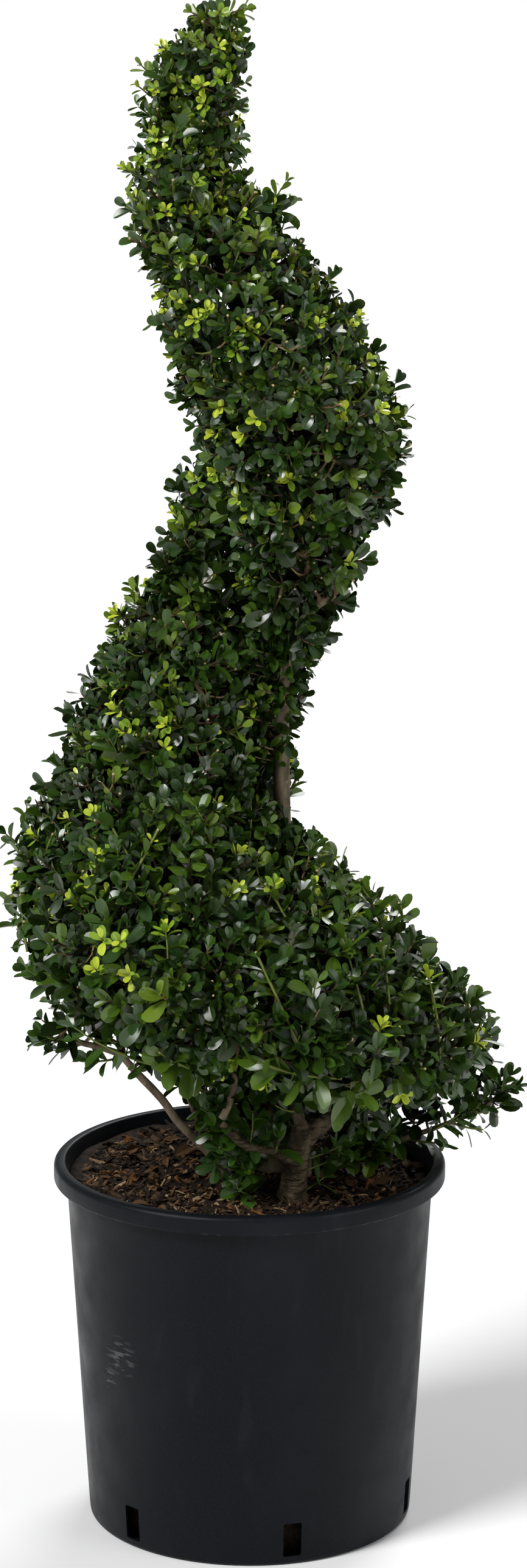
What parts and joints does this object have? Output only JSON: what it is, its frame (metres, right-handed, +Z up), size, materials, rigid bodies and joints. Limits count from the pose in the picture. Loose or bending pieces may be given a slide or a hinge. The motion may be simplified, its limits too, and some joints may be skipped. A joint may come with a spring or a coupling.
{
  "type": "potted spiral topiary",
  "caption": "Evergreen shrub with small leaves, clipped as a spiral ribbon round its trunk, growing in a round black nursery pot.",
  "frame": {"origin": "middle of the pot's flat underside, on the ground", "axes": "+Z up along the pot's axis, -Y towards the front, +X to the right seen from the front"},
  "size_m": [0.529, 0.4519, 1.5401],
  "materials": {
    "pot_plastic": "satin blow-moulded plastic, blue-black, faintly smudged and scuffed",
    "potting_mix": "loose bark mulch, dark brown with tan chips and fibres",
    "bark": "grey-brown bark with fine furrows",
    "young_bark": "smooth green young bark",
    "leaf": "small glossy evergreen leaves, dark green with brighter tips"
  },
  "bodies": {
    "root": {"back_left_stem": "bark", "cut_stub": "bark", "elbow_bough_low": "bark", "elbow_bough_up": "bark", "foliage_01": "leaf", "foliage_02": "leaf", "foliage_03": "leaf", "foliage_04": "leaf", "foliage_05": "leaf", "foliage_06": "leaf", "foliage_07": "leaf", "foliage_08": "leaf", "foliage_09": "leaf", "foliage_10": "leaf", "foliage_11": "leaf", "foliage_12": "leaf", "foliage_13": "leaf", "foliage_14": "leaf", "foliage_15": "leaf", "fork_bough": "bark", "front_bough": "bark", "front_stem": "bark", "green_shoot": "young_bark", "left_stem": "bark", "long_stem": "bark", "long_stem_fork": "bark", "low_foliage": "leaf", "low_shoot": "bark", "pot": "pot_plastic", "potting_mix": "potting_mix", "right_stem": "bark", "thin_stem": "bark", "tip_foliage": "leaf", "trunk": "bark", "upright_stem": "bark"}
  },
  "joints": []
}
